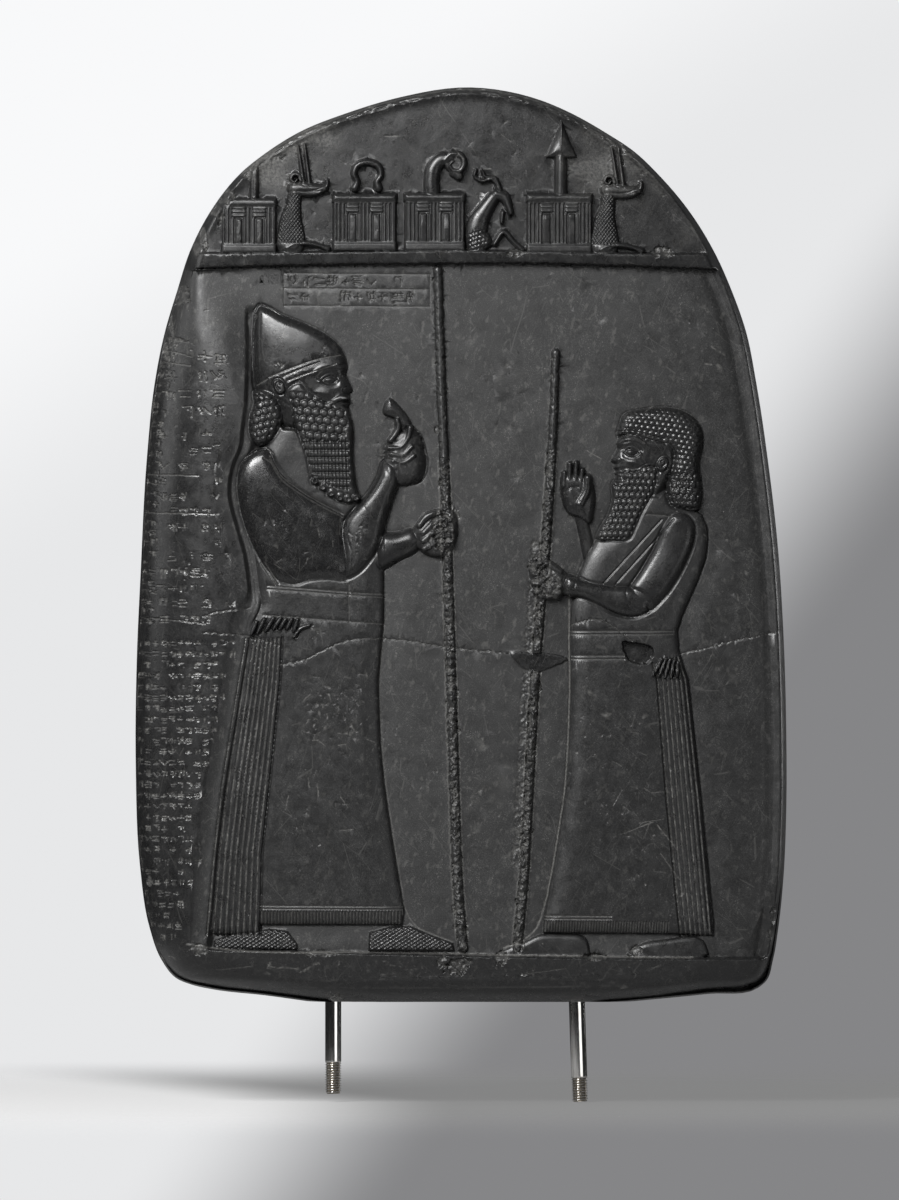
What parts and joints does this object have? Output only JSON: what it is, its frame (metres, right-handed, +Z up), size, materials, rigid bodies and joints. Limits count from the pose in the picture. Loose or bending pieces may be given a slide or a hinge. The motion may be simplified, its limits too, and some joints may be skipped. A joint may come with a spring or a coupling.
{
  "type": "boundary stone",
  "caption": "Round-topped dark stone slab carved in low relief with two facing figures below a row of divine symbols, held upright by steel mounting studs.",
  "frame": {"origin": "middle of the stone's flat underside, where it meets its plinth", "axes": "+Z up the stone, -Y out of the carved front, +X to the right as seen from the front"},
  "size_m": [0.3243, 0.09, 0.5048],
  "materials": {
    "stone": "dark grey to black stone, polished on the raised figures and matt in the sunk field, with pale dust in its cuts",
    "stud_steel": "bright drawn steel rod with a cut thread at its lower end"
  },
  "bodies": {
    "root": {"stone": "stone", "stud_left": "stud_steel", "stud_right": "stud_steel"}
  },
  "joints": []
}
